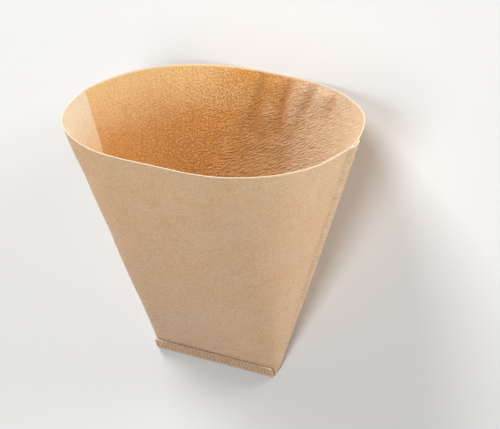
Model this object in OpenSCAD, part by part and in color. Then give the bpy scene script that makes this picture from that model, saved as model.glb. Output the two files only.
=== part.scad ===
// A cone-shaped paper coffee filter, opened and lying on its back wall.
// It is one sheet, folded over at the left crease. A crimped band closes it along the right crease
// and another along the bottom. Each band is folded flat against the outside of the bag.
// The shape is worked out with the bag upright: X runs from crease to crease, Y from front to back.

/* [Mouth] */
// Length of the open mouth, from crease to crease
mouth_l = 114.8; // [90:0.2:140]
// Depth of the open mouth, from the front edge to the back edge
mouth_d = 98.8; // [60:0.2:120]
// Fullness of the back edge's curve, where 2 is an ellipse
back_fullness = 2.2; // [2:0.1:2.6]
// Fullness of the front edge's curve, where 2 is an ellipse
front_fullness = 2.4; // [2:0.1:2.8]
// Straight stretch in the middle of both edges
straight_l = 8; // [4:1:16]
// How far a crease stands out of the mouth's round
crease_peak = 1.2; // [0.2:0.1:3]
// Length of edge over which that peak rounds off
crease_run = 8; // [4:0.5:14]

/* [Bag] */
// Height of the open bag, from the bottom seam to the mouth
bag_h = 105; // [70:1:150]
// Length of the bottom seam
seam_l = 52; // [36:1:70]
// Stretch of the seam at each corner where the walls begin to turn
corner_run = 2.5; // [1:0.5:5]
// Thickness of the paper
paper_t = 0.25; // [0.15:0.05:0.4]

/* [Flutes] */
// Depth of the four soft flutes below the back edge, from crest to hollow
flute_depth = 1.5; // [0:0.1:2]
// Distance between two flutes along the mouth
flute_pitch = 11.8; // [9:0.2:13]
// First flute, counted from the middle of the back edge towards the right crease
flute_first = -4.7; // [-8:0.1:4]
// How far the flutes near the middle reach down from the mouth
flute_long = 26; // [16:1:40]
// How far the flutes near the right crease reach down from the mouth
flute_short = 15; // [12:1:30]

/* [Crimped bands] */
// Width of both bands
band_w = 6; // [4:0.5:9]
// Distance between two crimps
crimp_pitch = 1.6; // [1.4:0.1:3]
// Height of a crimp, from crest to hollow
crimp_h = 0.3; // [0.1:0.05:0.5]
// Plain strip between a fold and the first crimp
plain_w = 0.8; // [0.4:0.1:1.5]
// Clear space between the crimps and the wall behind them
band_gap = 0.15; // [0.05:0.05:0.5]
// Height above the bottom at which the side band reaches its full width
taper_h = 16; // [14:1:30]

/* [Hidden] */

paper_tan = [0.85, 0.68, 0.46];

half_l = mouth_l / 2;
half_d = mouth_d / 2;
half_seam = seam_l / 2;
half_straight = straight_l / 2;

// A wall leans out from upright by this angle, and the filter lies down by the rest of a right angle
lean = atan2(half_d, bag_h);
lie_down = 90 - lean;
wall_l = norm([half_d, bag_h]);
crease_l = norm([half_l - half_seam, bag_h]);

// Both bands turn round a fold of this inner radius and are two papers thick
fold_r = (band_gap + crimp_h) / 2;
band_t = 2 * paper_t;
fold_outer_r = fold_r + band_t;

// Numbers of facets
right_n = 40;     // across a wall, from the right crease to the straight middle
left_n = 26;      // across a wall, from the left crease to the straight middle
straight_n = 4;   // across the straight middle
wall_n = right_n + straight_n + left_n;
loop_n = 2 * wall_n;
low_n = 4;        // up a wall below the flutes
flute_n = 6;      // up a wall along the flutes
rise_n = low_n + flute_n;
fold_n = 5;       // round the bottom fold
chord_n = 24;     // steps of the table that measures along the edge
side_n = 2 * round(crease_l / crimp_pitch);
bottom_n = 2 * round(seam_l / crimp_pitch);

function mix(a, b, share) = a + (b - a) * share;
function clamp01(value) = min(1, max(0, value));
function smooth(share) = let (s = clamp01(share)) s * s * (3 - 2 * s);
function unit(vector) = vector / norm(vector);

// Every place on a wall has four coordinates:
// side is 1 on the back wall and -1 on the front wall,
// end is 1 at the right crease and -1 at the left one, and passes through 0 along the straight middle,
// turn runs from 0 at the crease to 1 where the straight middle starts,
// rise runs from 0 at the bottom seam to 1 at the mouth.

function out_of_wall(side) = [0, side * cos(lean), -sin(lean)];
function up_the_wall(side) = [0, side * sin(lean), cos(lean)];

// The back wall starts at the origin, and the front wall where the inside of the bottom fold ends
fold_centre = -fold_outer_r * out_of_wall(1);
back_foot = [0, 0, 0];
front_foot = fold_centre - fold_r * out_of_wall(-1);

function foot(side, end, turn) =
    let (own = side > 0 ? back_foot : front_foot,
         between = (back_foot + front_foot) / 2,
         along = end * (half_seam - corner_run * turn))
    mix(between, own, smooth(turn)) + [along, 0, 0];

function mouth(side, end, turn) =
    let (power = 2 / (side > 0 ? back_fullness : front_fullness),
         deep = half_d * pow(sin(90 * turn), power),
         peak = crease_peak * (exp(-deep / crease_run) - exp(-half_d / crease_run)),
         round_l = half_l - half_straight - crease_peak,
         long = half_straight + round_l * pow(cos(90 * turn), power) + peak)
    [end * long, side * deep, bag_h];

// Direction that points straight out of the wall's outer face
function outward(side, end, turn) =
    let (step = 0.004,
         way = turn > 0.999 ? [-sign(end == 0 ? 1 : end), 0, 0]
             : mouth(side, sign(end), min(1, turn + step)) - mouth(side, sign(end), max(0, turn - step)),
         up = mouth(side, end, turn) - foot(side, end, turn))
    side * (end < 0 ? -1 : 1) * unit(cross(way, up));

// Soft flutes are pressed into the back wall. They start just below the mouth's smooth edge.
// The hollows keep to the wall's round, and the crests beside them stand inwards.
flutes_n = 4;
first_slant = -1.2;   // flutes that the first one moves sideways on its way from mouth to seam
slant = 2.6;          // the same for the others, which lean the other way
hollow_power = 1.6;   // above 1 the hollows are narrower than the crests
side_fade = 0.7;      // how far the crests reach beyond the first and the last hollow, in flutes
rim_fade = 5;         // length below the mouth over which the flutes begin
end_fade = 10;        // length over which they run out

// How strongly the wall is fluted, where across is 0 at the first flute and 1 at the next
function fluted(across, rise) =
    let (down = (1 - rise) * wall_l, reach = mix(flute_long, flute_short, smooth(across - 1)))
    smooth(across + side_fade) * smooth(flutes_n - 1 + side_fade - across)
    * smooth(down / rim_fade) * smooth((reach - down) / end_fade);
function flute(side, end, turn, rise) =
    side < 0 ? 0
    : let (across = (mouth(side, end, turn)[0] - flute_first) / flute_pitch,
           turns = across + (1 - rise) * mix(first_slant, slant, smooth(across)),
           hollow = pow((1 + cos(360 * turns)) / 2, hollow_power))
      -flute_depth * (1 - hollow) * fluted(across, rise);

function outer_face(side, end, turn, rise) =
    mix(foot(side, end, turn), mouth(side, end, turn), rise)
    + flute(side, end, turn, rise) * outward(side, end, turn);

// The columns of facets across one wall, from the right crease to the left one
function column_turn(k) =
    k < right_n ? k / right_n : k > right_n + straight_n ? (wall_n - k) / left_n : 1;
function column_end(k) = 1 - 2 * clamp01((k - right_n) / straight_n);

// The side band leaves the outer face at these two places beside the right crease
back_root = 0.005;
front_root = 0.02;

// Column k runs round the whole bag: back wall, left crease, front wall
function loop_side(k) = k <= wall_n ? 1 : -1;
function loop_column(k) = k <= wall_n ? k : loop_n - k;

function outer_point(k, rise) =
    let (column = loop_column(k),
         turn = k == 0 ? back_root : k == loop_n ? front_root : column_turn(column))
    outer_face(loop_side(k), column_end(column), turn, rise);

// At a crease the inner face follows the mean of both walls
function inner_point(k, rise) =
    let (side = loop_side(k), column = loop_column(k),
         end = column_end(column), turn = column_turn(column),
         own = outward(side, end, turn),
         way = turn > 0 ? own : unit(own + outward(-side, end, turn)))
    outer_face(side, end, turn, rise) - paper_t * way;

// Lowest place at which the inner faces of both walls are clear of each other
pocket_rise = 2.2 * paper_t / half_d;
flutes_end = 1 - flute_long / wall_l;
foot_crowding = 1.3;   // above 1 the rows stand closer together near the seam
outer_rises = concat([for (i = [0:low_n - 1]) flutes_end * pow(i / low_n, foot_crowding)],
                     [for (i = [0:flute_n]) mix(flutes_end, 1, i / flute_n)]);
inner_rises = [for (rise = outer_rises) mix(pocket_rise, 1, rise)];

// Side band: it lies on the back wall's outer face, and its distance is measured from the crease
band_start = 0.035;
function side_rise(j) = mix(band_start, 1, j / side_n);
function turn_at(rise, distance) =
    lookup(distance, [for (i = [0:chord_n])
        let (turn = 0.5 * i / chord_n)
        [norm(outer_face(1, 1, turn, rise) - outer_face(1, 1, 0, rise)), turn]]);
function side_width(rise) = band_w * clamp01(rise * crease_l / taper_h);
function crimp(j) = (j % 2 == 0 ? -1 : 1) * crimp_h / 2;

// Four lines run along a band: its root, the start of the crimps, where they reach full height, and
// its free edge. Each is [share of the plain strip, share of the crimped strip, strength of the crimps].
band_steps = [[0.4, 0, 0], [1, 0, 0], [1, 0.15, 1], [1, 1, 1]];
step_n = len(band_steps) - 1;
function step_distance(step, width) =
    let (plain = min(plain_w, width / 3)) step[0] * plain + step[1] * (width - plain);
function side_band_point(j, step, lift) =
    let (rise = side_rise(j),
         turn = turn_at(rise, step_distance(step, side_width(rise))),
         off = lift + crimp(j) * step[2])
    outer_face(1, 1, turn, rise) + off * outward(1, 1, turn);
side_under = [for (j = [0:side_n], step = band_steps) side_band_point(j, step, 2 * fold_r)];
side_over = [for (j = [0:side_n], step = band_steps) side_band_point(j, step, 2 * fold_r + band_t)];

// Bottom band: it turns round the fold and stands against the front wall's outer face
bottom_straight = band_w - (fold_r + band_t / 2) * (180 - 2 * lean) * PI / 180;
function bottom_x(i) = half_seam - seam_l * i / bottom_n;
function fold_direction(angle) = [0, cos(angle), sin(angle)];
function fold_row(part) =
    [fold_centre + fold_outer_r * fold_direction(-lean - part * (180 - 2 * lean)),
     fold_centre + fold_r * fold_direction(lean - part * 180), 0];
function straight_row(step) =
    let (along = step_distance(step, bottom_straight) * up_the_wall(-1), out = out_of_wall(-1))
    [fold_centre + fold_outer_r * out + along, fold_centre + fold_r * out + along, step[2]];
bottom_rows = concat([for (i = [1:fold_n]) fold_row(i / fold_n)],
                     [for (i = [1:step_n]) straight_row(band_steps[i])]);
bottom_row_n = len(bottom_rows) - 1;
function bottom_points(face) =
    [for (row = bottom_rows, i = [0:bottom_n])
        row[face] + [bottom_x(i), 0, 0] + crimp(i) * row[2] * out_of_wall(-1)];

// All corners, one block after the other, and where each block starts
outer_corners = [for (rise = outer_rises, k = [0:loop_n]) outer_point(k, rise)];
inner_corners = [for (rise = inner_rises, k = [0:loop_n - 1]) inner_point(k, rise)];
bottom_over = bottom_points(0);
bottom_under = bottom_points(1);
corners = concat(outer_corners, inner_corners, side_under, side_over, bottom_over, bottom_under);
inner_at = len(outer_corners);
under_at = inner_at + len(inner_corners);
over_at = under_at + len(side_under);
bottom_over_at = over_at + len(side_over);
bottom_under_at = bottom_over_at + len(bottom_over);

function outer_i(r, k) = r * (loop_n + 1) + k;
function inner_i(r, k) = inner_at + r * loop_n + k % loop_n;
function under_i(j, c) = under_at + j * (step_n + 1) + c;
function over_i(j, c) = over_at + j * (step_n + 1) + c;
function bottom_over_i(r, i) = bottom_over_at + r * (bottom_n + 1) + i;
function bottom_under_i(r, i) = bottom_under_at + r * (bottom_n + 1) + i;

// Two facets between four corners, which run clockwise as seen from outside the paper
function patch(a, b, c, d) = [[a, b, c], [a, c, d]];

// Facets between two rows with different numbers of corners, joined where their places are nearest
function lace(a, b, place_a, place_b, i = 0, j = 0) =
    i == len(a) - 1 && j == len(b) - 1 ? []
    : let (on_a = j == len(b) - 1 || (i < len(a) - 1 && place_a[i + 1] <= place_b[j + 1]))
      concat([on_a ? [a[i], a[i + 1], b[j]] : [a[i], b[j + 1], b[j]]],
             lace(a, b, place_a, place_b, on_a ? i + 1 : i, on_a ? j : j + 1));

function fan(ring) = [for (i = [1:len(ring) - 2]) [ring[0], ring[i], ring[i + 1]]];

// Both faces of the walls, the cut edge round the mouth, and the pocket's bottom
wall_facets = [for (r = [0:rise_n - 1], k = [0:loop_n - 1]) each concat(
    patch(outer_i(r, k), outer_i(r + 1, k), outer_i(r + 1, k + 1), outer_i(r, k + 1)),
    patch(inner_i(r, k), inner_i(r, k + 1), inner_i(r + 1, k + 1), inner_i(r + 1, k)))];
mouth_facets = [for (k = [0:loop_n - 1])
    each patch(outer_i(rise_n, k), inner_i(rise_n, k), inner_i(rise_n, k + 1), outer_i(rise_n, k + 1))];
pocket_facets = [for (k = [0:wall_n - 1])
    each patch(inner_i(0, k), inner_i(0, loop_n - k), inner_i(0, loop_n - k - 1), inner_i(0, k + 1))];

// The side band's two faces, free edge and ends, and the folds that join it to both walls
side_facets = [for (j = [0:side_n - 1]) each concat(
    [for (c = [0:step_n - 1]) each concat(
        patch(over_i(j, c), over_i(j + 1, c), over_i(j + 1, c + 1), over_i(j, c + 1)),
        patch(under_i(j, c), under_i(j, c + 1), under_i(j + 1, c + 1), under_i(j + 1, c)))],
    patch(over_i(j, step_n), over_i(j + 1, step_n), under_i(j + 1, step_n), under_i(j, step_n)))];
side_end_facets = [for (c = [0:step_n - 1]) each concat(
    patch(over_i(0, c), over_i(0, c + 1), under_i(0, c + 1), under_i(0, c)),
    patch(over_i(side_n, c + 1), over_i(side_n, c), under_i(side_n, c), under_i(side_n, c + 1)))];
side_places = [for (j = [0:side_n]) side_rise(j)];
side_fold_facets = concat(
    lace([for (j = [0:side_n]) under_i(j, 0)], [for (r = [0:rise_n]) outer_i(r, 0)],
         side_places, outer_rises),
    lace([for (r = [0:rise_n]) outer_i(r, loop_n)], [for (j = [0:side_n]) over_i(j, 0)],
         outer_rises, side_places));
side_top_facets = fan([inner_i(rise_n, 0), outer_i(rise_n, 0), under_i(side_n, 0), over_i(side_n, 0),
                       outer_i(rise_n, loop_n)]);

// The bottom band's two faces, free edge and ends, and the fold that joins it to both walls
bottom_facets = [for (r = [0:bottom_row_n - 1]) each concat(
    [for (i = [0:bottom_n - 1]) each concat(
        patch(bottom_over_i(r, i), bottom_over_i(r, i + 1),
              bottom_over_i(r + 1, i + 1), bottom_over_i(r + 1, i)),
        patch(bottom_under_i(r, i), bottom_under_i(r + 1, i),
              bottom_under_i(r + 1, i + 1), bottom_under_i(r, i + 1)))],
    patch(bottom_over_i(r + 1, bottom_n), bottom_over_i(r, bottom_n),
          bottom_under_i(r, bottom_n), bottom_under_i(r + 1, bottom_n)),
    patch(bottom_over_i(r, 0), bottom_over_i(r + 1, 0), bottom_under_i(r + 1, 0), bottom_under_i(r, 0)))];
bottom_edge_facets = [for (i = [0:bottom_n - 1])
    each patch(bottom_over_i(bottom_row_n, i), bottom_over_i(bottom_row_n, i + 1),
               bottom_under_i(bottom_row_n, i + 1), bottom_under_i(bottom_row_n, i))];
function seam_place(k) = outer_corners[k][0];
bottom_fold_facets = concat(
    lace([for (k = [0:wall_n]) outer_i(0, k)], [for (i = [0:bottom_n]) bottom_over_i(0, i)],
         [for (k = [0:wall_n]) -seam_place(k)], [for (i = [0:bottom_n]) -bottom_x(i)]),
    lace([for (k = [wall_n:loop_n]) outer_i(0, k)],
         [for (i = [0:bottom_n]) bottom_under_i(0, bottom_n - i)],
         [for (k = [wall_n:loop_n]) seam_place(k)], [for (i = [0:bottom_n]) bottom_x(bottom_n - i)]));
corner_facets = concat(
    fan([bottom_over_i(0, bottom_n), outer_i(0, wall_n), bottom_under_i(0, bottom_n)]),
    fan([outer_i(0, 0), bottom_over_i(0, 0), bottom_under_i(0, 0), outer_i(0, loop_n), over_i(0, 0),
         under_i(0, 0)]));

facets = [for (facet = concat(wall_facets, mouth_facets, pocket_facets, side_facets, side_end_facets,
                              side_fold_facets, side_top_facets, bottom_facets, bottom_edge_facets,
                              bottom_fold_facets, corner_facets))
    if (facet[0] != facet[1] && facet[1] != facet[2] && facet[2] != facet[0]) facet];

// Half of what the side band adds to the length, and the middle of the depth once the bag lies down
side_over_l = 2 * fold_r + band_t;
middle = [side_over_l / 2, (wall_l - fold_outer_r) / 2, 0];

// The whole sheet with both of its bands, laid down on the back wall
module filter_paper() {
    color(paper_tan)
    translate(-middle)
    rotate([-lie_down, 0, 0])
    polyhedron(points = corners, faces = facets, convexity = 6);
}

filter_paper();
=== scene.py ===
"""A cone-shaped paper coffee filter, opened and lying on its back wall, and the stage it lies on.

The bag is worked out upright: X runs from crease to crease, Y from front to back, Z up.
Then it is laid down on its back wall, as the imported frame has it. All lengths are in metres.
"""

import math

import bpy
import numpy as np
from bpy.props import FloatProperty, FloatVectorProperty, IntProperty, PointerProperty
from mathutils import Matrix, Vector


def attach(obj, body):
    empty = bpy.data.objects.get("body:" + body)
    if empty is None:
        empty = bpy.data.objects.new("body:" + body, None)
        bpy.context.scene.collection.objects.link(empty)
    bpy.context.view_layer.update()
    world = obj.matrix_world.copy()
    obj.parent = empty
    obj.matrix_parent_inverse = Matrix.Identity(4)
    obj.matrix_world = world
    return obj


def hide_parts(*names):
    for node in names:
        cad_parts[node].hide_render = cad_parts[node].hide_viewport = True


bl_info = {
    "name": "Paper Coffee Filter",
    "version": (1, 0, 0),
    "blender": (4, 5, 0),
    "location": "3D View > Sidebar > Coffee Filter",
    "description": "Makes an opened cone-shaped paper coffee filter and the stage it lies on",
    "category": "Add Mesh",
}

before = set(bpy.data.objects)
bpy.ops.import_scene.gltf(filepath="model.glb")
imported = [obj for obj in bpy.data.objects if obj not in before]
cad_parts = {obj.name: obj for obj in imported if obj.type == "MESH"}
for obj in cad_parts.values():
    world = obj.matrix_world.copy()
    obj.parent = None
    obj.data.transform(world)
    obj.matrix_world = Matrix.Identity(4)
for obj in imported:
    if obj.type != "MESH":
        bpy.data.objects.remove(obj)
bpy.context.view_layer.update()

NODE = "filter_paper"
PAPER = "kraft_paper"
MM = 0.001


def length(name, description, default):
    """A length that a user can change."""
    return FloatProperty(name=name, description=description, default=default, precision=5,
                         subtype="DISTANCE", unit="LENGTH")


def share(name, description, default):
    """A number without a unit that a user can change."""
    return FloatProperty(name=name, description=description, default=default, precision=3)


def colour(name, description, default):
    """A colour that a user can change."""
    return FloatVectorProperty(name=name, description=description, default=default, size=3,
                               min=0.0, max=1.0, subtype="COLOR")


# Sizes and colours

class BagSizes(bpy.types.PropertyGroup):
    """Sizes of the opened bag and of its two crimped bands."""
    mouth_l: length("Mouth Length", "Open mouth from crease to crease", 0.1148)
    mouth_d: length("Mouth Depth", "Open mouth from the front edge to the back edge", 0.0988)
    back_fullness: share("Back Fullness", "Curve of the back edge, where 2 is an ellipse", 2.2)
    front_fullness: share("Front Fullness", "Curve of the front edge, where 2 is an ellipse", 2.4)
    straight_l: length("Straight", "Straight stretch in the middle of both edges", 0.008)
    crease_peak: length("Crease Peak", "How far a crease stands out of the mouth's round", 0.0012)
    crease_run: length("Crease Run", "Edge over which that peak rounds off", 0.008)
    bag_h: length("Height", "From the bottom seam to the mouth", 0.105)
    seam_l: length("Seam Length", "Length of the bottom seam", 0.052)
    corner_run: length("Corner Run", "Seam at each corner where the walls begin to turn", 0.0025)
    paper_t: length("Paper Thickness", "Thickness of the sheet", 0.00025)
    band_w: length("Band Width", "Width of both crimped bands", 0.006)
    plain_w: length("Plain Strip", "Between a band's fold and its first crimp", 0.0008)
    band_gap: length("Band Gap", "Between a band's crimps and the wall behind them", 0.00015)
    taper_h: length("Band Taper", "Height at which the side band reaches its full width", 0.016)


class ReliefSizes(bpy.types.PropertyGroup):
    """What stands up from the smooth sheet or sinks into it."""
    flute_depth: length("Flute Depth", "From crest to hollow", 0.0015)
    flute_pitch: length("Flute Pitch", "Between two flutes along the mouth", 0.0118)
    flute_first: length("Flute First", "From the middle of the back edge to the first flute", -0.0047)
    flutes: IntProperty(name="Flutes", description="Number of flutes", default=4, min=1)
    flute_long: length("Flute Long", "How far the flutes near the middle reach down", 0.026)
    flute_short: length("Flute Short", "How far the flutes near the crease reach down", 0.015)
    first_slant: share("First Slant", "Flutes that the first one moves sideways from mouth to seam", -1.2)
    slant: share("Slant", "Flutes that the others move sideways from mouth to seam", 2.6)
    crimp_pitch: length("Crimp Pitch", "Between two crimps", 0.0016)
    crimp_h: length("Crimp Height", "From crest to hollow", 0.0003)
    cockle_h: length("Cockle Height", "Soft unevenness of the sheet, from crest to hollow", 0.0008)
    cockle_size: length("Cockle Size", "Usual width of a cockle", 0.022)
    seed: IntProperty(name="Seed", description="Picks one pattern of cockles", default=4, min=0)


class PaperLook(bpy.types.PropertyGroup):
    """Colours and grain of the unbleached paper, and the colours of its painted light and shade."""
    pale: colour("Pale Paper", "Colour of the sheet where it is palest", (0.97, 0.90, 0.74))
    # This colour serves the paper's own gold tone and the painted glow on the inner face.
    golden: colour("Golden Paper", "Colour of the sheet where it is most golden", (1.0, 0.44, 0.10))
    # This colour serves the paper's lightest specks and the painted light just below the mouth.
    bright: colour("Bright Fibre", "Colour of the sheet's lightest specks", (1.0, 0.745, 0.30))
    # This colour serves the paper's own blotches and all painted shade.
    dull_and_shade: colour("Dull Paper", "Colour of the sheet where it is dullest", (0.56, 0.24, 0.075))
    # This colour serves the darkest fibres and the painted shade in the crepe's furrows.
    dark_fibre_and_shade: colour("Dark Fibre", "Colour of the darkest fibres", (0.50, 0.165, 0.032))
    # This colour serves exposed fibres and the painted highlight along cut edges and the left crease.
    bare_fibre_and_highlight: colour("Bare Fibre", "Colour of the fibres along a cut edge or a fold", (0.97, 0.88, 0.72))
    through: colour("Through", "Colour of the light that comes through the sheet", (0.96, 0.72, 0.38))
    see_through: share("Translucency", "Share of the light that each face lets through", 0.3)
    crepe_pitch: length("Crepe Pitch", "Between two ridges of the crepe", 0.0006)
    crepe_run: length("Crepe Run", "Usual length of a ridge", 0.0025)
    crepe_h: length("Crepe Height", "From crest to hollow of the crepe", 0.0012)
    grain: length("Grain", "Size of the paper's mottling", 0.0007)


class StageSizes(bpy.types.PropertyGroup):
    """The floor, the light and the camera."""
    floor_w: length("Floor Width", "Side of the square floor", 6.0)
    lens: FloatProperty(name="Lens", description="Focal length of the camera in millimetres",
                        default=161.27, unit="CAMERA")
    floor: colour("Floor", "Colour of the floor for the light that it throws back", (0.80, 0.80, 0.79))
    floor_seen: colour("Floor Seen", "Colour of the floor as the camera sees it", (0.755, 0.76, 0.765))
    air: colour("Surroundings", "Colour of the light from all sides", (1.0, 0.99, 0.97))
    air_strength: share("Surroundings Strength", "Strength of the light from all sides", 0.2)


# Shape of the bag

def smooth(part):
    """A soft step from 0 to 1."""
    part = np.clip(part, 0, 1)
    return part * part * (3 - 2 * part)


def rising(value, start, run):
    """A soft step from 0 at start to 1 a run further."""
    return smooth((value - start) / run)


def falling(value, end, run):
    """A soft step from 1 a run before end to 0 at end."""
    return smooth((end - value) / run)


def unit(vectors):
    return vectors / np.linalg.norm(vectors, axis=-1, keepdims=True)


def blend(a, b, part):
    """Points between a and b, at a where part is 0 and at b where it is 1."""
    part = np.asarray(part, float)[..., None]
    return a + (b - a) * part


def in_section(angle):
    """Directions in the upright bag's middle section: 0 points to the back, a quarter turn up."""
    return np.stack([0 * angle, np.cos(angle), np.sin(angle)], -1)


class Bag:
    """Places on the bag's walls, each from four coordinates.

    side is 1 on the back wall and -1 on the front wall. end is 1 at the right crease and -1 at the
    left one, and passes through 0 along the straight middle. turn runs from 0 at the crease to 1
    where the straight middle starts. rise runs from 0 at the bottom seam to 1 at the mouth.
    """

    def __init__(self, sizes, relief):
        self.sizes = sizes
        self.half_l = sizes.mouth_l / 2
        self.half_d = sizes.mouth_d / 2
        self.half_seam = sizes.seam_l / 2
        self.half_straight = sizes.straight_l / 2
        self.lean = math.atan2(self.half_d, sizes.bag_h)
        self.wall_l = math.hypot(self.half_d, sizes.bag_h)
        self.crease_l = math.hypot(self.half_l - self.half_seam, sizes.bag_h)

        # Both bands are two papers thick and stand off their wall by twice the inner radius of their fold
        self.fold_r = (sizes.band_gap + relief.crimp_h) / 2
        self.band_t = 2 * sizes.paper_t
        self.fold_outer_r = self.fold_r + self.band_t
        self.band_top = 2 * self.fold_r + self.band_t

        # Middle of the bottom band's fold, and where each wall starts beside it
        self.fold_centre = -self.fold_outer_r * self.out_of_wall(1)
        self.back_foot = np.zeros(3)
        self.front_foot = self.fold_centre - self.fold_r * self.out_of_wall(-1)

    def out_of_wall(self, side):
        """Straight out of a wall's middle."""
        return np.array([0, side * math.cos(self.lean), -math.sin(self.lean)])

    def up_the_wall(self, side):
        """From the bottom seam to the mouth, up a wall's middle."""
        return np.array([0, side * math.sin(self.lean), math.cos(self.lean)])

    def lay_down(self, points):
        """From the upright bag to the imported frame."""
        angle = math.pi / 2 - self.lean
        x, y, z = points[..., 0], points[..., 1], points[..., 2]
        return np.stack([x, y * math.cos(angle) + z * math.sin(angle),
                         z * math.cos(angle) - y * math.sin(angle)], -1)

    def foot(self, side, end, turn):
        """Places on the bottom seam. At its corners both walls meet."""
        own = self.back_foot if side > 0 else self.front_foot
        between = (self.back_foot + self.front_foot) / 2
        points = blend(between, own, smooth(turn))
        points[..., 0] += end * (self.half_seam - self.sizes.corner_run * turn)
        return points

    def mouth(self, side, end, turn):
        """Places on the mouth: a full oval with a straight middle and a small peak at each crease."""
        sizes = self.sizes
        power = 2 / (sizes.back_fullness if side > 0 else sizes.front_fullness)
        angle = turn * math.pi / 2
        deep = self.half_d * np.sin(angle) ** power
        peak = sizes.crease_peak * (np.exp(-deep / sizes.crease_run)
                                    - math.exp(-self.half_d / sizes.crease_run))
        round_l = self.half_l - self.half_straight - sizes.crease_peak
        along = self.half_straight + round_l * np.clip(np.cos(angle), 0, 1) ** power + peak
        return np.stack([end * along, side * deep, np.full_like(deep, sizes.bag_h)], -1)

    def outward(self, side, end, turn):
        """Straight out of the wall's outer face."""
        step = 0.004
        sign = np.where(end < 0, -1.0, 1.0)
        way = (self.mouth(side, sign, np.minimum(1, turn + step))
               - self.mouth(side, sign, np.maximum(0, turn - step)))
        on_straight = turn > 0.999
        way = np.where(on_straight[..., None], np.stack([-sign, 0 * sign, 0 * sign], -1), way)
        up = self.mouth(side, end, turn) - self.foot(side, end, turn)
        return side * sign[..., None] * unit(np.cross(way, up))

    def wall(self, side, end, turn, rise):
        """Places on a wall's outer face."""
        return blend(self.foot(side, end, turn), self.mouth(side, end, turn), rise)


def spaced_turns(bag, near, far, run):
    """Turns from a crease to the straight middle: near apart at the crease and far apart beyond run."""
    fine = np.linspace(0, 1, 4001) ** 1.5
    edge = [bag.mouth(side, np.ones_like(fine), fine) for side in (1, -1)]
    steps = sum(np.linalg.norm(np.diff(line, axis=0), axis=1) for line in edge) / 2
    travelled = np.concatenate([[0], np.cumsum(steps)])
    gap = near + (far - near) * smooth(travelled / run)
    counted = np.concatenate([[0], np.cumsum(steps / ((gap[1:] + gap[:-1]) / 2))])
    number = int(round(counted[-1]))
    return np.interp(np.linspace(0, counted[-1], number + 1), counted, fine)


def unroll(feet, tops):
    """Flat places of a wall that is a strip of narrow triangles. Its first foot is the flat origin."""
    flat_feet = [np.zeros(2)]
    flat_tops = [np.array([np.linalg.norm(tops[0] - feet[0]), 0.0])]

    def third(a, b, to_a, to_b):
        """The corner left of the line from a to b, at the given distances from both."""
        along = b - a
        gap = np.linalg.norm(along)
        x = (to_a ** 2 - to_b ** 2 + gap ** 2) / (2 * gap)
        y = math.sqrt(max(0.0, to_a ** 2 - x ** 2))
        along = along / gap
        return a + x * along + y * np.array([-along[1], along[0]])

    for k in range(1, len(feet)):
        top = third(flat_feet[-1], flat_tops[-1], np.linalg.norm(tops[k] - feet[k - 1]),
                    np.linalg.norm(tops[k] - tops[k - 1]))
        foot = third(flat_feet[-1], top, np.linalg.norm(feet[k] - feet[k - 1]),
                     np.linalg.norm(tops[k] - feet[k]))
        flat_feet.append(foot)
        flat_tops.append(top)
    return np.array(flat_feet), np.array(flat_tops)


# Tones of the sheet, with painted light and shade
# They are set by place on the sheet. On the inner face they paint a gold glow of the light that comes
# through the paper and bounces in the bag, painted light just below the mouth, and painted shade down in the
# bag and beside the first flute. Each list goes along the mouth, in millimetres from the middle of an edge
# towards the right crease, with the value there.

# Share of the gold tone on the back's inner face: the paper's own tone, and above it a painted glow of light
# that comes through the paper and bounces in the bag
BACK_GOLDEN_AND_GLOW = ((-85, 0.36), (-50, 0.38), (-25, 0.6), (-12, 0.95), (-5, 1), (4, 0.85), (13, 0.45),
               (22, 0.25), (45, 0.2), (75, 0.1))
# Painted light just below the mouth, along the back wall
BACK_SUNNY = ((-85, 0.8), (-60, 1), (-30, 0.8), (-12, 0.35), (0, 0))
# Painted shade on the back wall, most of it beside the first flute
BACK_SHADE = ((-25, 0), (-12, 0.08), (-5, 0.52), (2, 0.34), (12, 0.1), (22, 0))
BACK_CREPED = ((-14, 0.2), (2, 0.6), (18, 1), (40, 0.85), (60, 0.5), (85, 0.35))
FRONT_CREPED = ((-15, 0.2), (15, 0.8), (45, 0.5))

# Two numbers in brackets are where a soft step starts and how far it runs, in the direction given
TONES_DEEPEN = (0.97, 0.30)             # rise, downwards: below it the inner face takes on painted shade and a deeper painted glow
BACK_DEEPENS_LESS = (-5 * MM, 45 * MM)  # place along the mouth, to the right
FAR_LEFT = (-10 * MM, 40 * MM)          # place along the mouth, to the left
SUNNY_STRIP = (0.78, 0.2)               # rise, upwards

LESS_DEEP = 0.93         # share of the painted deepening that the right end of the back doesn't have
DEEP_GLOW = 1.1        # painted glow: share towards which the back's gold tone turns deeper in the bag, and how far it goes there
DEEP_BLEND = 0.8
DEEP_SHADE = 0.55        # painted shade that is added there, and what is added to that at the far left
FAR_LEFT_SHADE = 0.5
FRONT_DEEP = dict(golden=0.5, sunny=0.35, shade=0.2)   # painted glow, light and shade of the front wall's inner face down there
TONE_LEAN = 80 * MM      # how far left the back's tones move for a rise of 1, and the share of the
LEANING_PART = 0.3       # wall, down from the mouth, in which they do

PLAIN_GOLDEN = 0.25      # tones of the outer faces and the bands
PLAIN_CREPED = 0.45
BARE_AND_HIGHLIGHT_STRIP = (0.9 * MM, 0.5 * MM)       # painted highlight with exposed fibres along the cut edge: length below it, towards it
OUTER_LAYER = 0.08       # third coordinate of the outer faces in the pattern, so that it differs there


def along_mouth(beside, stops):
    """The value at each place along the mouth, from a list of places in millimetres and values."""
    places, values = zip(*stops)
    return np.interp(beside / MM, places, values)


def plain_tones(full):
    """Tones of an outer face or a band."""
    return dict(golden=np.full(full, PLAIN_GOLDEN), creped=np.full(full, PLAIN_CREPED))


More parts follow.
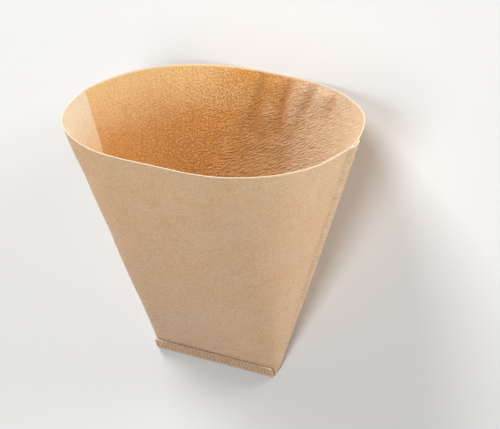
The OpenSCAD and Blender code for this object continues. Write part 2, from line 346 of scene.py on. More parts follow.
def inner_tones(beside, rise, on_back):
    """Tones of the inner face, for places along the mouth and rises.

    The back wall has a painted gold glow from the left to its middle, painted light just below the mouth,
    and painted shade down in the bag. Down from the mouth its tones and its crepe move to the left.
    """
    deep = falling(rise, *TONES_DEEPEN)
    leaning = beside + TONE_LEAN * np.minimum(1 - rise, LEANING_PART)
    back_deep = deep * (1 - LESS_DEEP * rising(leaning, *BACK_DEEPENS_LESS))
    deep_shade = DEEP_SHADE + FAR_LEFT_SHADE * falling(beside, *FAR_LEFT)
    golden = along_mouth(leaning, BACK_GOLDEN_AND_GLOW)
    back = dict(golden=golden + (DEEP_GLOW - golden) * DEEP_BLEND * back_deep,
                sunny=rising(rise, *SUNNY_STRIP) * along_mouth(beside, BACK_SUNNY),
                shade=along_mouth(beside, BACK_SHADE) + deep_shade * back_deep,
                creped=along_mouth(leaning, BACK_CREPED))
    front = {name: tone * deep for name, tone in FRONT_DEEP.items()}
    front["creped"] = along_mouth(beside, FRONT_CREPED)
    return {name: np.where(on_back, back[name], front[name]) for name in back}


# Mesh of the sheet

COLUMN_NEAR = 0.5 * MM             # between two columns beside a crease
COLUMN_FAR = 1.25 * MM             # between two columns away from it
COLUMN_RUN = 10 * MM               # edge over which one passes into the other
STRAIGHT_COLUMNS = 6               # over the straight middle
WALL_ROWS = 88                     # from the bottom seam to the mouth
ROW_POWER = 1.15                   # above 1 the rows stand closer near the bottom seam
RIM_ROWS = (0.9 * MM, 0.4 * MM)    # two more rows, so far below the mouth
CRIMP_ROWS = 8                     # over one crimp
FOLD_ROWS = 10                     # round the bottom fold

BACK_ROOT = 0.005       # turn at which the side band leaves the back wall
FRONT_ROOT = 0.02       # turn at which it leaves the front wall
SIDE_BAND_FROM = 0.035  # rise at which the side band starts
POCKET_BOTTOM = 2.2     # papers between the middle and each wall where the pocket ends

SIDE_FADE = 0.7         # how far the crests reach beyond the first and the last hollow, in flutes
RIM_FADE = 5 * MM       # length below the mouth over which the flutes begin
END_FADE = 10 * MM      # length over which they run out
COCKLE_TURN = (0.10, 0.15)  # turn from which the cockles begin, and over how much of a turn
COCKLE_RISE = (0.07, 0.2)   # the same for the rise
LYING_FADE = 3 * MM     # height over which they begin, above the surface that the bag lies on

# Lines along a band: share of the plain strip, share of the crimped strip, strength of the crimps.
# The crimps are two rows of short bars.
BAND_LINES = np.array([[0.4, 0, 0], [1, 0, 0], [1, 0.05, 1], [1, 0.42, 1], [1, 0.47, 0], [1, 0.52, 0],
                       [1, 0.57, 1], [1, 0.92, 1], [1, 0.97, 0], [1, 1, 0]])

VECTOR_VALUES = ("out", "sheet_place")


class Builder:
    """Collects points with their values, and the faces between them."""

    def __init__(self):
        self.points, self.values, self.faces, self.count = [], {}, [], 0

    def add(self, points, **values):
        """A block of points of any shape. Returns their numbers in the same shape."""
        shape = points.shape[:-1]
        number = int(np.prod(shape))
        self.points.append(points.reshape(-1, 3))
        for name in dict.fromkeys([*self.values, *values]):
            tail = (3,) if name in VECTOR_VALUES else ()
            block = np.broadcast_to(np.asarray(values.get(name, 0.0), float), shape + tail)
            known = self.values.setdefault(name, [np.zeros((self.count,) + tail)])
            known.append(block.reshape((number,) + tail))
        start = self.count
        self.count += number
        return np.arange(start, self.count).reshape(shape)

    def quads(self, grid, flip=False):
        """Faces of a grid of point numbers."""
        a, b, c, d = grid[:-1, :-1], grid[1:, :-1], grid[1:, 1:], grid[:-1, 1:]
        order = (a, d, c, b) if flip else (a, b, c, d)
        for face in np.stack(order, -1).reshape(-1, 4).tolist():
            self.faces.append([number for i, number in enumerate(face) if number != face[i - 1]])

    def strip(self, a, b, flip=False):
        """Faces between two rows with the same number of points."""
        self.quads(np.stack([a, b]), flip)

    def lace(self, a, b, place_a, place_b):
        """Triangles between two rows with different numbers of points."""
        i = j = 0
        while i < len(a) - 1 or j < len(b) - 1:
            on_a = j == len(b) - 1 or (i < len(a) - 1 and place_a[i + 1] <= place_b[j + 1])
            self.faces.append([b[j], a[i + 1], a[i]] if on_a else [b[j], b[j + 1], a[i]])
            i, j = (i + 1, j) if on_a else (i, j + 1)

    def fan(self, ring):
        """Triangles over a small ring of points, all from its first one."""
        for i in range(1, len(ring) - 1):
            self.faces.append([ring[i + 1], ring[i], ring[0]])


def band_distances(sizes, width):
    """Distances of a band's lines from its fold, for each width of the band."""
    plain = np.minimum(sizes.plain_w, width / 3)[..., None]
    return BAND_LINES[:, 0] * plain + BAND_LINES[:, 1] * (width[..., None] - plain)


def band_values(flat, along, strength, cut):
    """What the relief and the paper's pattern need to know of each point of a band."""
    full = flat.shape[:-1]
    place = np.concatenate([flat, np.full(full + (1,), OUTER_LAYER)], -1)
    return dict(sheet_place=place, crimp_place=along, crimp_share=strength, bare=cut, **plain_tones(full))


class Sheet:
    """The whole sheet with both of its bands, smooth as yet, with the values that the relief needs.

    Its columns go from the right crease along the back wall to the left crease, and back along the
    front wall to the right crease.
    """

    def __init__(self, bag, relief):
        self.bag, self.relief, self.made = bag, relief, Builder()
        quarter = spaced_turns(bag, COLUMN_NEAR, COLUMN_FAR, COLUMN_RUN)
        middle = np.linspace(1, -1, STRAIGHT_COLUMNS + 1)[1:-1]
        turn = np.concatenate([quarter, np.ones(len(middle)), quarter[::-1]])
        end = np.concatenate([np.ones(len(quarter)), middle, -np.ones(len(quarter))])
        self.wall_n = len(turn) - 1
        self.loop_n = 2 * self.wall_n
        self.turn = np.concatenate([turn, turn[-2::-1]])
        self.end = np.concatenate([end, end[-2::-1]])
        self.on_back = np.arange(self.loop_n + 1) <= self.wall_n
        self.flat_foot, self.flat_top = self.unrolled()
        self.beside = self.edge_places()
        self.add_walls()
        self.add_side_band()
        self.add_bottom_band()

    def unrolled(self):
        """Flat place of every column's foot and top.

        X runs up the left crease. Y runs away from it, positive on the back wall.
        """
        foot, top = np.zeros((self.loop_n + 1, 2)), np.zeros((self.loop_n + 1, 2))
        end, turn = self.end[self.wall_n::-1], self.turn[self.wall_n::-1]
        for side in (1, -1):
            feet, tops = unroll(self.bag.foot(side, end, turn), self.bag.mouth(side, end, turn))
            own = self.wall_n - side * np.arange(self.wall_n + 1)
            foot[own] = feet * [1, side]
            top[own] = tops * [1, side]
        return foot, top

    def edge_places(self):
        """Place of every column along the mouth, from the middle of its edge to the right crease."""
        beside = np.zeros(self.loop_n + 1)
        for side in (1, -1):
            own = np.arange(self.wall_n + 1) if side > 0 else np.arange(self.loop_n, self.wall_n, -1)
            edge = self.bag.mouth(side, self.end[own], self.turn[own])
            gaps = np.linalg.norm(np.diff(edge, axis=0), axis=1)
            travelled = np.concatenate([[0], np.cumsum(gaps)])
            beside[own] = np.interp(0, -edge[:, 0], travelled) - travelled
        return beside

    def by_side(self, call, turn):
        """Calls a function of one wall for the columns of both walls."""
        back = call(1, self.end[self.on_back], turn[self.on_back])
        front = call(-1, self.end[~self.on_back], turn[~self.on_back])
        return np.concatenate([back, front])

    def rows(self, turn, rise):
        """Places of every column on the outer face, at each rise."""
        feet, tops = self.by_side(self.bag.foot, turn), self.by_side(self.bag.mouth, turn)
        return feet[None] + (tops - feet)[None] * rise[:, None, None]

    def flute_share(self, mouth_x, down):
        """How strongly the flutes show, 0 to 1, for places across and down the back wall."""
        relief = self.relief
        across = (mouth_x - relief.flute_first) / relief.flute_pitch
        reach = relief.flute_long + (relief.flute_short - relief.flute_long) * smooth(across - 1)
        return (rising(across, -SIDE_FADE, 1) * falling(across, relief.flutes - 1 + SIDE_FADE, 1)
                * rising(down, 0, RIM_FADE) * falling(down, reach, END_FADE) * self.on_back)

    def wall_values(self, turn, rise, inside):
        """What the relief and the paper's pattern need to know of each point of both walls."""
        rise = rise[:, None]
        flat = self.flat_foot[None] + (self.flat_top - self.flat_foot)[None] * rise[..., None]
        full = flat.shape[:-1]
        place = np.concatenate([flat, np.full(full + (1,), 0.0 if inside else OUTER_LAYER)], -1)
        mouth_x = self.by_side(self.bag.mouth, turn)[None, :, 0]
        down = (1 - rise) * self.bag.wall_l
        cockled = rising(turn[None], *COCKLE_TURN) * rising(rise, *COCKLE_RISE)
        tones = inner_tones(self.beside[None], rise, self.on_back) if inside else plain_tones(full)
        values = dict(sheet_place=place, flute_place=mouth_x, flute_rise=rise, cockle_share=cockled,
                      flute_share=self.flute_share(mouth_x, down),
                      bare=falling(down, *BARE_AND_HIGHLIGHT_STRIP), **tones)
        return {name: np.broadcast_to(value, full + value.shape[2:]) for name, value in values.items()}

    def add_walls(self):
        """Both faces of both walls, the cut edge between them and the bottom of the pocket."""
        bag, made, wall_n = self.bag, self.made, self.wall_n
        rim_rows = [1 - down / bag.wall_l for down in RIM_ROWS]
        self.rise = np.append(np.linspace(0, 1, WALL_ROWS + 1)[:-1] ** ROW_POWER, [*rim_rows, 1])

        # Outer face. The side band leaves it at two places beside the right crease.
        root_turn = self.turn.copy()
        root_turn[0], root_turn[-1] = BACK_ROOT, FRONT_ROOT
        outer = made.add(self.rows(root_turn, self.rise), out=self.by_side(bag.outward, root_turn),
                         **self.wall_values(root_turn, self.rise, inside=False))

        # Inner face. At a crease it follows the mean of both walls.
        out = self.by_side(bag.outward, self.turn)
        for column in (0, wall_n):
            front_out = bag.outward(-1, self.end[[column]], self.turn[[column]])[0]
            out[column] = unit(out[column] + front_out)
        pocket_rise = POCKET_BOTTOM * bag.sizes.paper_t / bag.half_d
        rise = pocket_rise + (1 - pocket_rise) * self.rise
        places = self.rows(self.turn, rise) - bag.sizes.paper_t * out
        values = self.wall_values(self.turn, rise, inside=True)
        inner = made.add(places[:, :-1], out=out[:-1],
                         **{name: value[:, :-1] for name, value in values.items()})
        ring = np.concatenate([inner, inner[:, :1]], axis=1)

        made.quads(outer, flip=True)
        made.quads(ring)
        made.strip(outer[-1], ring[-1], flip=True)
        made.strip(ring[0, :wall_n + 1], ring[0, :wall_n - 1:-1], flip=True)
        self.outer, self.ring = outer, ring

    def add_side_band(self):
        """The side band, which leaves both walls at the right crease and lies on the back wall."""
        bag, sizes, made, outer = self.bag, self.bag.sizes, self.made, self.outer
        crimps = round(bag.crease_l / self.relief.crimp_pitch)
        rise = np.linspace(SIDE_BAND_FROM, 1, CRIMP_ROWS * crimps + 1)
        width = sizes.band_w * np.clip(rise * bag.crease_l / sizes.taper_h, 0, 1)
        reach = band_distances(sizes, width)

        chord_turn = np.linspace(0, 0.5, 121)
        ones = np.ones_like(chord_turn)
        foot, mouth = bag.foot(1, ones, chord_turn), bag.mouth(1, ones, chord_turn)
        turn = np.empty(reach.shape)
        for row, part in enumerate(rise):
            chord = foot + (mouth - foot) * part
            turn[row] = np.interp(reach[row], np.linalg.norm(chord - chord[0], axis=1), chord_turn)
        ones = np.ones_like(turn)
        out = bag.outward(1, ones, turn)
        place = bag.wall(1, ones, turn, np.broadcast_to(rise[:, None], turn.shape))
        cut = np.zeros(turn.shape)
        cut[:, -1] = cut[-1] = cut[0] = 1

        def layer(height, column, away):
            """One face of the band. Its flat place goes on from the wall's last or first column."""
            edge = self.flat_top[column] - self.flat_foot[column]
            beyond = unit(np.array([-edge[1], edge[0]])) * away
            flat = (self.flat_foot[column] + edge * rise[:, None])[:, None] + reach[..., None] * beyond
            return made.add(place + height * out, out=out,
                            **band_values(flat, (rise * bag.crease_l)[:, None], BAND_LINES[:, 2], cut))

        under = layer(2 * bag.fold_r, 0, 1)
        over = layer(bag.band_top, -1, -1)
        made.quads(over, flip=True)
        made.quads(under)
        made.strip(over[:, -1], under[:, -1])
        made.strip(over[0], under[0])
        made.strip(over[-1], under[-1], flip=True)
        made.lace(under[:, 0], outer[:, 0], rise, self.rise)
        made.lace(outer[:, -1], over[:, 0], self.rise, rise)
        made.fan([self.ring[-1, 0], outer[-1, 0], under[-1, 0], over[-1, 0], outer[-1, -1]])
        self.side_corner = [over[0, 0], under[0, 0]]

    def bottom_lines(self):
        """The bottom band across its width: both faces, straight out of them, and how far down each is."""
        bag, sizes = self.bag, self.bag.sizes
        turned = math.pi - 2 * bag.lean
        straight = sizes.band_w - (bag.fold_r + bag.band_t / 2) * turned
        reach = band_distances(sizes, np.array(straight))[1:]
        part = np.arange(1, FOLD_ROWS + 1) / FOLD_ROWS
        away, up = bag.out_of_wall(-1), bag.up_the_wall(-1)
        round_fold = in_section(-bag.lean - part * turned)
        over = np.concatenate([bag.fold_centre + bag.fold_outer_r * round_fold,
                               bag.fold_centre + bag.fold_outer_r * away + reach[:, None] * up])
        under = np.concatenate([bag.fold_centre + bag.fold_r * in_section(bag.lean - part * math.pi),
                                bag.fold_centre + bag.fold_r * away + reach[:, None] * up])
        out = np.concatenate([round_fold, np.broadcast_to(away, (len(reach), 3))])
        down = np.concatenate([part * (sizes.band_w - straight), sizes.band_w - straight + reach])
        return over, under, out, down

    def add_bottom_band(self):
        """The bottom band, which turns round its fold and stands against the front wall."""
        bag, made, outer, wall_n = self.bag, self.made, self.outer, self.wall_n
        crimps = round(bag.sizes.seam_l / self.relief.crimp_pitch)
        seam_x = np.linspace(bag.half_seam, -bag.half_seam, CRIMP_ROWS * crimps + 1)
        over_line, under_line, out, down = self.bottom_lines()
        strength = np.concatenate([np.zeros(FOLD_ROWS), BAND_LINES[1:, 2]])[:, None]
        shift = np.stack([seam_x, 0 * seam_x, 0 * seam_x], -1)
        cut = np.zeros((len(down), len(seam_x)))
        cut[-1] = cut[:, 0] = cut[:, -1] = 1

        # Column of the wall above each place of the band, and how far on the next one it is
        foot_x = np.concatenate(made.points)[outer[0], 0]
        column = np.interp(-seam_x, -foot_x[:wall_n + 1], np.arange(wall_n + 1))
        low = np.floor(column).astype(int).clip(0, wall_n - 1)

        def layer(line, columns):
            """One face of the band. Its flat place goes on from the feet of the wall's columns."""
            flat_seam = blend(self.flat_foot[columns[low]], self.flat_foot[columns[low + 1]], column - low)
            middle = columns[wall_n // 2]
            flat_down = unit(self.flat_foot[middle] - self.flat_top[middle])
            flat = flat_seam[None] + down[:, None, None] * flat_down
            return made.add(line[:, None] + shift[None], out=out[:, None],
                            **band_values(flat, -seam_x[None], strength, cut))

        over = layer(over_line, np.arange(wall_n + 1))
        under = layer(under_line, self.loop_n - np.arange(wall_n + 1))
        made.quads(over)
        made.quads(under, flip=True)
        made.strip(over[:, -1], under[:, -1], flip=True)
        made.strip(over[:, 0], under[:, 0])
        made.strip(over[-1], under[-1])
        made.lace(outer[0, :wall_n + 1], over[0], -foot_x[:wall_n + 1], -seam_x)
        made.lace(outer[0, wall_n:], under[0, ::-1], foot_x[wall_n:], seam_x[::-1])
        made.fan([over[0, -1], outer[0, wall_n], under[0, -1]])
        made.fan([outer[0, 0], over[0, 0], under[0, 0], outer[0, -1], *self.side_corner])


def sheet_mesh(bag, relief):
    """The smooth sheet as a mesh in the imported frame."""
    made = Sheet(bag, relief).made
    points = bag.lay_down(np.concatenate(made.points))
    points -= [bag.band_top / 2, (bag.wall_l - bag.fold_outer_r) / 2, 0]
    values = {name: np.concatenate(blocks) for name, blocks in made.values.items()}
    values["out"] = bag.lay_down(values["out"])
    values["cockle_share"] = values["cockle_share"] * smooth(points[:, 2] / LYING_FADE)

    mesh = bpy.data.meshes.new("filter_sheet")
    mesh.from_pydata(points.tolist(), [], made.faces)
    for name, value in values.items():
        kind, field = ("FLOAT_VECTOR", "vector") if name in VECTOR_VALUES else ("FLOAT", "value")
        attribute = mesh.attributes.new(name, kind, "POINT")
        attribute.data.foreach_set(field, value.astype(np.float32).ravel())
    mesh.validate()
    return mesh


# Relief

class Tree:
    """Short calls for building a node tree."""

    def __init__(self, tree):
        self.tree = tree

    def add(self, kind, inputs=(), **settings):
        node = self.tree.nodes.new(kind)
        for name, value in settings.items():
            setattr(node, name, value)
        for socket, value in dict(inputs).items():
            self.put(node.inputs[socket], value)
        return node

    def put(self, socket, value):
        """Links the value to the socket if it is another node's output, and else sets it."""
        if isinstance(value, bpy.types.NodeSocket):
            self.tree.links.new(value, socket)
        else:
            socket.default_value = value

    def math(self, operation, a, b=0.0):
        """One of Blender's math operations. One that needs a single number leaves b out."""
        return self.add("ShaderNodeMath", {0: a, 1: b}, operation=operation).outputs[0]

    def plus(self, total, *others):
        for other in others:
            total = self.math("ADD", total, other)
        return total

    def times(self, product, *others):
        for other in others:
            product = self.math("MULTIPLY", product, other)
        return product

    def minus(self, a, b):
        return self.math("SUBTRACT", a, b)

    def larger(self, a, b):
        return self.math("MAXIMUM", a, b)

    def vector(self, operation, a, b=(0.0, 0.0, 0.0)):
        return self.add("ShaderNodeVectorMath", {0: a, 1: b}, operation=operation).outputs[0]

    def scale(self, vector, factor):
        node = self.add("ShaderNodeVectorMath", {0: vector}, operation="SCALE")
        self.put(node.inputs["Scale"], factor)
        return node.outputs[0]

    def stored(self, name, kind="FLOAT"):
        """A value that the mesh holds, in Geometry Nodes."""
        node = self.add("GeometryNodeInputNamedAttribute", {"Name": name}, data_type=kind)
        return node.outputs["Attribute"]


FULL_CIRCLE = 2 * math.pi
HOLLOW_POWER = 1.6      # above 1 the flutes' hollows are narrower than the crests between them


def flute_nodes(t, given):
    """The flutes' height, and how far into a hollow each point is.

    The hollows lie on the wall's round and the crests between them stand inwards.
    """
    across = t.math("DIVIDE", t.minus(t.stored("flute_place"), given["Flute First"]), given["Flute Pitch"])
    slant = t.add("ShaderNodeMapRange", {"Value": across, "From Min": 0.0, "From Max": 1.0,
                                         "To Min": given["First Slant"], "To Max": given["Slant"]},
                  interpolation_type="SMOOTHSTEP").outputs[0]
    sideways = t.times(t.minus(1.0, t.stored("flute_rise")), slant)
    wave = t.math("COSINE", t.times(t.plus(across, sideways), FULL_CIRCLE))
    hollow = t.math("POWER", t.times(t.plus(wave, 1.0), 0.5), HOLLOW_POWER)
    height = t.times(t.minus(hollow, 1.0), given["Flute Depth"], t.stored("flute_share"))
    return height, t.times(hollow, t.stored("flute_share"))


def crimp_nodes(t, given):
    """The crimps' height, and how far into a pressed line each point is."""
    counted = t.math("DIVIDE", t.stored("crimp_place"), given["Crimp Pitch"])
    wave = t.math("SINE", t.times(counted, FULL_CIRCLE))
    height = t.times(wave, given["Crimp Height"], 0.5, t.stored("crimp_share"))
    return height, t.times(t.larger(t.times(wave, -1.0), 0.0), t.stored("crimp_share"))


def cockle_nodes(t, given):
    """The cockles' height, from a noise over the flat sheet, so that both faces share it."""
    flat = t.vector("MULTIPLY", t.stored("sheet_place", "FLOAT_VECTOR"), (1.0, 1.0, 0.0))
    noise = t.add("ShaderNodeTexNoise", {"Vector": flat, "W": given["Seed"], "Detail": 1.5, "Roughness": 0.4,
                                         "Scale": t.math("DIVIDE", 1.0, given["Cockle Size"])},
                  noise_dimensions="4D").outputs[0]
    return t.times(t.minus(noise, 0.5), given["Cockle Height"], 2.0, t.stored("cockle_share"))


def relief_tree():
    """Geometry Nodes that press flutes, crimps and cockles into the sheet, along its outward direction."""
    tree = bpy.data.node_groups.new("Paper Relief", "GeometryNodeTree")
    face = tree.interface
    face.new_socket("Geometry", in_out="INPUT", socket_type="NodeSocketGeometry")
    for name in ("Flute Depth", "Flute Pitch", "Flute First", "First Slant", "Slant", "Crimp Pitch",
                 "Crimp Height", "Cockle Height", "Cockle Size"):
        face.new_socket(name, in_out="INPUT", socket_type="NodeSocketFloat")
    face.new_socket("Seed", in_out="INPUT", socket_type="NodeSocketInt")
    face.new_socket("Paper", in_out="INPUT", socket_type="NodeSocketMaterial")
    face.new_socket("Geometry", in_out="OUTPUT", socket_type="NodeSocketGeometry")

    t = Tree(tree)
    given = t.add("NodeGroupInput").outputs
    flute, hollow = flute_nodes(t, given)
    crimp, pressed = crimp_nodes(t, given)
    height = t.plus(flute, crimp, cockle_nodes(t, given))
    offset = t.scale(t.stored("out", "FLOAT_VECTOR"), height)
    sheet = t.add("GeometryNodeSetPosition", {"Geometry": given["Geometry"], "Offset": offset})
    for name, value in (("hollow", hollow), ("pressed", pressed)):
        sheet = t.add("GeometryNodeStoreNamedAttribute",
                      {"Geometry": sheet.outputs[0], "Name": name, "Value": value},
                      data_type="FLOAT", domain="POINT")
    real = t.add("GeometryNodeRealizeInstances", {"Geometry": sheet.outputs[0]})
    painted = t.add("GeometryNodeSetMaterial", {"Geometry": real.outputs[0], "Material": given["Paper"]})
    t.add("NodeGroupOutput", {"Geometry": painted.outputs[0]})
    return tree


def apply_tree(thing, tree, values):
    """Turns the object with the tree's result into a plain mesh."""
    modifier = thing.modifiers.new(tree.name, "NODES")
    modifier.node_group = tree
    for item in tree.interface.items_tree:
        if item.item_type == "SOCKET" and item.in_out == "INPUT" and item.name in values:
            modifier[item.identifier] = values[item.name]
    depsgraph = bpy.context.evaluated_depsgraph_get()
    result = bpy.data.meshes.new_from_object(thing.evaluated_get(depsgraph), preserve_all_data_layers=True,
                                             depsgraph=depsgraph)
    thing.modifiers.remove(modifier)
    old = thing.data
    thing.data = result
    bpy.data.meshes.remove(old)
    result.name = thing.name


# Material of the paper

LAYER_CELLS = 300.0     # cells of a fine noise for each unit of the layer, so that the two faces differ
CLOUD_CELLS = 40.0      # the same for a coarse noise

FLUTE_SHADE = 0.55      # how far painted shade darkens a flute's hollow and a crimp's hollow, and how far a blotch dulls the sheet
CRIMP_SHADE = 0.7
BLOTCH_DULLS = 0.45
FURROW_SHADE = 0.4    # how far painted shade darkens the crepe's furrows
DARK_HAIR = 0.35        # how clearly dark and pale hairs show
PALE_HAIR = 0.5
CREASE_SHOWS = 0.6      # how light the middle of the left crease is, from exposed fibres and a painted highlight along the fold
CREASE_IN = 0.1 * MM    # half the width of that line, and of the soft line round it
CREASE_OUT = 0.45 * MM
CUT_SHOWS = 0.85        # how light the cut edge is, from exposed fibres and a painted highlight
GRAIN_SHARE = 0.2       # height of the fine crepe, and of the mottling, next to the crepe


class PaperTree(Tree):
    """Calls for the paper's pattern, which lies on the unrolled sheet."""

    def __init__(self, tree):
        super().__init__(tree)
        self.place = self.mark("sheet_place", "Vector")

    def mark(self, name, output="Fac"):
        """A value that the mesh holds, in a material."""
        node = self.add("ShaderNodeAttribute", attribute_name=name, attribute_type="GEOMETRY")
        return node.outputs[output]

    def noise(self, cells, detail, roughness, distortion=0.0, offset=(0.0, 0.0, 0.0)):
        """A noise with so many cells a metre up the left crease, away from it and from layer to layer."""
        vector = self.add("ShaderNodeMapping", {"Vector": self.place, "Location": offset,
                                                "Scale": cells}).outputs[0]
        return self.add("ShaderNodeTexNoise", {"Vector": vector, "Scale": 1.0, "Detail": detail,
                                               "Roughness": roughness, "Distortion": distortion}).outputs[0]

    def ramp(self, value, low, high, to_low=0.0, to_high=1.0):
        """to_low where the value is low, to_high where it is high, and straight between."""
        return self.add("ShaderNodeMapRange", {"Value": value, "From Min": low, "From Max": high,
                                               "To Min": to_low, "To Max": to_high}).outputs[0]

    def mix(self, low, high, factor):
        """A colour between two, each a plain colour or another node's output."""
        node = self.add("ShaderNodeMix", data_type="RGBA")
        self.put(node.inputs["Factor"], factor)
        for socket, value in (("A", low), ("B", high)):
            linked = isinstance(value, bpy.types.NodeSocket)
            self.put(node.inputs[socket], value if linked else (*value, 1.0))
        return node.outputs["Result"]


def paper_tone(t, look, crepe, mottle, creped, bare):
    """Colour of the paper: its tones by place, mottled, clouded and blotched, with stray hairs, and with
    painted light, painted shade and painted highlights.
    """
    golden, sunny = t.mark("golden"), t.mark("sunny")
    grain = 1 / look.grain
    specks = t.noise((1.3 * grain, 1.1 * grain, LAYER_CELLS), 3.0, 0.75, offset=(1.0, 6.0, 4.0))
    cloud = t.noise((75.0, 55.0, CLOUD_CELLS), 2.0, 0.5, 0.3, (1.0, 2.0, 0.0))
    blotch = t.noise((270.0, 210.0, CLOUD_CELLS), 2.0, 0.6, 0.4, (4.0, 2.0, 0.0))
    hair_a = t.noise((500.0, 4200.0, LAYER_CELLS), 1.0, 0.5, 1.2, (9.0, 4.0, 1.0))
    hair_b = t.noise((4600.0, 650.0, LAYER_CELLS), 1.0, 0.5, 1.4, (2.0, 8.0, 5.0))

    # Pale to gold by share: the paper's own tone, and on the inner face a painted glow of light that comes
    # through the paper and bounces in the bag.
    tone = t.mix(look.pale, look.golden, t.times(golden, t.ramp(cloud, 0.35, 0.6, 0.65, 1.0)))
    # Painted shade in the flutes' hollows and in the crimps' hollows.
    hollow_shade = t.larger(t.times(t.mark("hollow"), FLUTE_SHADE), t.times(t.mark("pressed"), CRIMP_SHADE))
    blotched = t.times(t.ramp(blotch, 0.50, 0.66, 0.0, BLOTCH_DULLS), golden)
    # Painted shade by place and in the hollows, with the paper's own blotches.
    tone = t.mix(tone, look.dull_and_shade, t.plus(t.mark("shade"), hollow_shade, blotched))

    # Painted light just below the mouth, with the paper's light specks.
    sunlit = t.times(sunny, t.ramp(cloud, 0.60, 0.38, 0.5, 1.2))
    tone = t.mix(tone, look.bright, t.larger(t.times(t.ramp(specks, 0.50, 0.58), golden), sunlit))
    spots = t.times(t.ramp(mottle, 0.53, 0.43), t.ramp(golden, 0.0, 1.0, 0.10, 1.0))
    # Painted shade in the crepe's furrows, beside the paper's mottling.
    furrow_shade = t.times(t.ramp(crepe, 0.50, 0.38, 0.0, FURROW_SHADE), creped)
    tone = t.mix(tone, look.dark_fibre_and_shade, t.larger(spots, furrow_shade))
    tone = t.mix(tone, look.dark_fibre_and_shade, t.times(t.ramp(hair_a, 0.66, 0.74), DARK_HAIR))
    tone = t.mix(tone, look.pale, t.times(t.ramp(hair_b, 0.67, 0.75), PALE_HAIR))

    # The left crease and the cut edges made lighter: exposed fibres and a painted highlight.
    away = t.add("ShaderNodeSeparateXYZ", {"Vector": t.place}).outputs["Y"]
    crease = t.ramp(t.math("ABSOLUTE", away), CREASE_OUT, CREASE_IN, 0.0, CREASE_SHOWS)
    return t.mix(tone, look.bare_fibre_and_highlight, t.larger(crease, t.times(bare, CUT_SHOWS)))


def paper_material(look):
    """Unbleached creped paper, which lets some of the light through."""
    material = bpy.data.materials.new(PAPER)
    material.use_nodes = True
    material.diffuse_color = (*look.pale, 1.0)
    material.node_tree.nodes.clear()
    t = PaperTree(material.node_tree)

    pitch, run, grain = 1 / look.crepe_pitch, 1 / look.crepe_run, 1 / look.grain
    crepe = t.noise((pitch, run, LAYER_CELLS), 1.5, 0.45, 0.35)
    fine = t.noise((2.2 * pitch, 3.0 * run, LAYER_CELLS), 1.0, 0.5, 0.3, (3.0, 7.0, 0.0))
    mottle = t.noise((grain, grain, LAYER_CELLS), 3.0, 0.75, offset=(5.0, 1.0, 2.0))
    creped, bare = t.mark("creped"), t.mark("bare")
    relief = t.plus(t.times(crepe, creped), t.times(fine, GRAIN_SHARE), t.times(mottle, GRAIN_SHARE))
    relief = t.times(relief, t.minus(1.0, bare))
    bump = t.add("ShaderNodeBump", {"Strength": 1.0, "Distance": look.crepe_h, "Height": relief}).outputs[0]

    tone = paper_tone(t, look, crepe, mottle, creped, bare)
    paper = t.add("ShaderNodeBsdfPrincipled", {"Base Color": tone, "Roughness": 0.92,
                                               "Specular IOR Level": 0.25, "Normal": bump})
    through = t.add("ShaderNodeBsdfTranslucent", {"Color": (*look.through, 1.0), "Normal": bump})
    both = t.add("ShaderNodeMixShader", {"Fac": look.see_through, 1: paper.outputs[0],
                                         2: through.outputs[0]})
    t.add("ShaderNodeOutputMaterial", {"Surface": both.outputs[0]})
    return material


# Stage

WARM_LIGHT = (1.0, 0.99, 0.97)
WHITE_LIGHT = (1.0, 1.0, 1.0)
LAMP_AIM = (0.0, 0.01, 0.03)
LAMPS = (
    dict(name="key_lamp", place=(-1.05, 1.54, 1.05), width=1.1, height=0.7, watts=42.0, tint=WARM_LIGHT),
    dict(name="side_lamp", place=(1.50, 1.20, 0.42), width=0.9, height=0.5, watts=27.5, tint=WARM_LIGHT),
    dict(name="top_lamp", place=(-0.2, -0.8, 2.1), width=1.1, height=1.1, watts=23.0, tint=WHITE_LIGHT),
)

# Where the camera is, what it points at and which way its top is, for the photo's viewing angle
CAMERA_PLACE = (0.37058, 0.05122, 0.80068)
CAMERA_AIM = (0.01130, 0.00312, 0.02177)
CAMERA_UP = (0.0, 0.90484, 0.42575)
SENSOR_W = 36.0         # millimetres, as for the lens
CLIP_START = 0.01
CLIP_END = 20.0


def floor_material(sizes):
    """A plain pale floor, which the camera sees in its own colour."""
    material = bpy.data.materials.new("pale_floor")
    material.use_nodes = True
    shader = material.node_tree.nodes["Principled BSDF"]
    t = Tree(material.node_tree)
    seen = t.add("ShaderNodeMix", data_type="RGBA")
    t.put(seen.inputs["Factor"], t.add("ShaderNodeLightPath").outputs["Is Camera Ray"])
    t.put(seen.inputs["A"], (*sizes.floor, 1.0))
    t.put(seen.inputs["B"], (*sizes.floor_seen, 1.0))
    t.put(shader.inputs["Base Color"], seen.outputs["Result"])
    shader.inputs["Roughness"].default_value = 0.85
    shader.inputs["Specular IOR Level"].default_value = 0.1
    return material


def look_at(place, aim, up):
    """Matrix of a camera or lamp at a place, pointing at aim, with its top towards up."""
    back = (Vector(place) - Vector(aim)).normalized()
    right = Vector(up).cross(back).normalized()
    top = back.cross(right)
    matrix = Matrix((right, top, back)).transposed().to_4x4()
    matrix.translation = Vector(place)
    return matrix


def add_floor(scene, sizes):
    """A square floor at the height that the bag lies at."""
    half = sizes.floor_w / 2
    corners = [(-half, -half, 0), (half, -half, 0), (half, half, 0), (-half, half, 0)]
    mesh = bpy.data.meshes.new("floor")
    mesh.from_pydata(corners, [], [(0, 1, 2, 3)])
    mesh.materials.append(floor_material(sizes))
    floor = bpy.data.objects.new("floor", mesh)
    scene.collection.objects.link(floor)


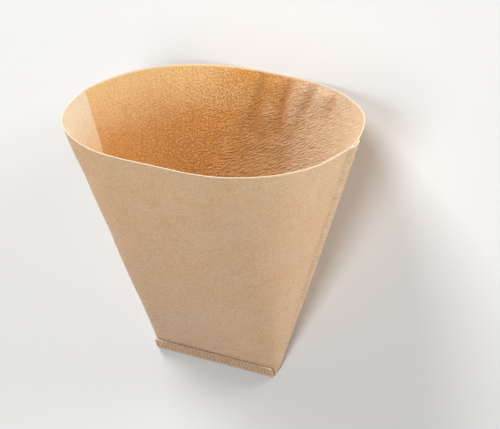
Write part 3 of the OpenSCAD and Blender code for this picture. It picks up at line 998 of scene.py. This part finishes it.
def add_lamp(scene, name, place, width, height, watts, tint):
    """A soft rectangular lamp that points at the bag."""
    light = bpy.data.lights.new(name, "AREA")
    light.shape = "RECTANGLE"
    light.size, light.size_y = width, height
    light.energy = watts
    light.color = tint
    lamp = bpy.data.objects.new(name, light)
    lamp.matrix_world = look_at(place, LAMP_AIM, (0.0, 0.0, 1.0))
    scene.collection.objects.link(lamp)


def add_surroundings(scene, sizes):
    """Even light from all sides."""
    world = bpy.data.worlds.new("soft_surroundings")
    scene.world = world
    world.use_nodes = True
    sky = world.node_tree.nodes["Background"]
    sky.inputs["Color"].default_value = (*sizes.air, 1.0)
    sky.inputs["Strength"].default_value = sizes.air_strength


def add_camera(scene, sizes):
    """The camera, with everything in focus."""
    lens = bpy.data.cameras.new("camera")
    lens.sensor_fit = "HORIZONTAL"
    lens.sensor_width = SENSOR_W
    lens.lens = sizes.lens
    lens.clip_start, lens.clip_end = CLIP_START, CLIP_END
    camera = bpy.data.objects.new("camera", lens)
    camera.matrix_world = look_at(CAMERA_PLACE, CAMERA_AIM, CAMERA_UP)
    scene.collection.objects.link(camera)
    scene.camera = camera


# Operators

SHARP_ANGLE = math.radians(38)


class FILTER_OT_sheet(bpy.types.Operator):
    """Make the folded sheet with its two crimped bands"""
    bl_idname = "filter.sheet"
    bl_label = "Make the Filter Sheet"

    def execute(self, context):
        scene = context.scene
        relief = scene.filter_relief
        bag = Bag(scene.filter_bag, relief)
        sheet = bpy.data.objects.new("filter_sheet", sheet_mesh(bag, relief))
        scene.collection.objects.link(sheet)
        apply_tree(sheet, relief_tree(), {
            "Flute Depth": relief.flute_depth, "Flute Pitch": relief.flute_pitch,
            "Flute First": relief.flute_first, "First Slant": relief.first_slant, "Slant": relief.slant,
            "Crimp Pitch": relief.crimp_pitch, "Crimp Height": relief.crimp_h,
            "Cockle Height": relief.cockle_h, "Cockle Size": relief.cockle_size,
            "Seed": relief.seed, "Paper": paper_material(scene.filter_look)})
        sheet.data.shade_smooth()
        sheet.data.set_sharp_from_angle(angle=SHARP_ANGLE)
        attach(sheet, "root")
        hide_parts(NODE)
        return {"FINISHED"}


class FILTER_OT_stage(bpy.types.Operator):
    """Make the floor, the lamps, the surroundings and the camera"""
    bl_idname = "filter.stage"
    bl_label = "Make the Stage"

    def execute(self, context):
        scene = context.scene
        sizes = scene.filter_stage
        add_floor(scene, sizes)
        for lamp in LAMPS:
            add_lamp(scene, **lamp)
        add_surroundings(scene, sizes)
        add_camera(scene, sizes)
        scene.view_settings.view_transform = "Standard"
        return {"FINISHED"}


GROUPS = {"filter_bag": BagSizes, "filter_relief": ReliefSizes, "filter_look": PaperLook,
          "filter_stage": StageSizes}


class FILTER_PT_panel(bpy.types.Panel):
    """Lists the filter's sizes and the buttons that make it"""
    bl_idname = "FILTER_PT_panel"
    bl_label = "Coffee Filter"
    bl_space_type = "VIEW_3D"
    bl_region_type = "UI"
    bl_category = "Coffee Filter"

    def draw(self, context):
        for name in GROUPS:
            group = getattr(context.scene, name)
            box = self.layout.box()
            for key in group.bl_rna.properties.keys():
                if key not in ("rna_type", "name"):
                    box.prop(group, key)
        self.layout.operator(FILTER_OT_sheet.bl_idname)
        self.layout.operator(FILTER_OT_stage.bl_idname)


CLASSES = (*GROUPS.values(), FILTER_OT_sheet, FILTER_OT_stage, FILTER_PT_panel)


def register():
    for entry in CLASSES:
        bpy.utils.register_class(entry)
    for name, group in GROUPS.items():
        setattr(bpy.types.Scene, name, PointerProperty(type=group))


def unregister():
    for name in GROUPS:
        delattr(bpy.types.Scene, name)
    for entry in reversed(CLASSES):
        bpy.utils.unregister_class(entry)


def main():
    register()
    bpy.ops.filter.sheet()
    bpy.ops.filter.stage()


if __name__ == "__main__":
    main()
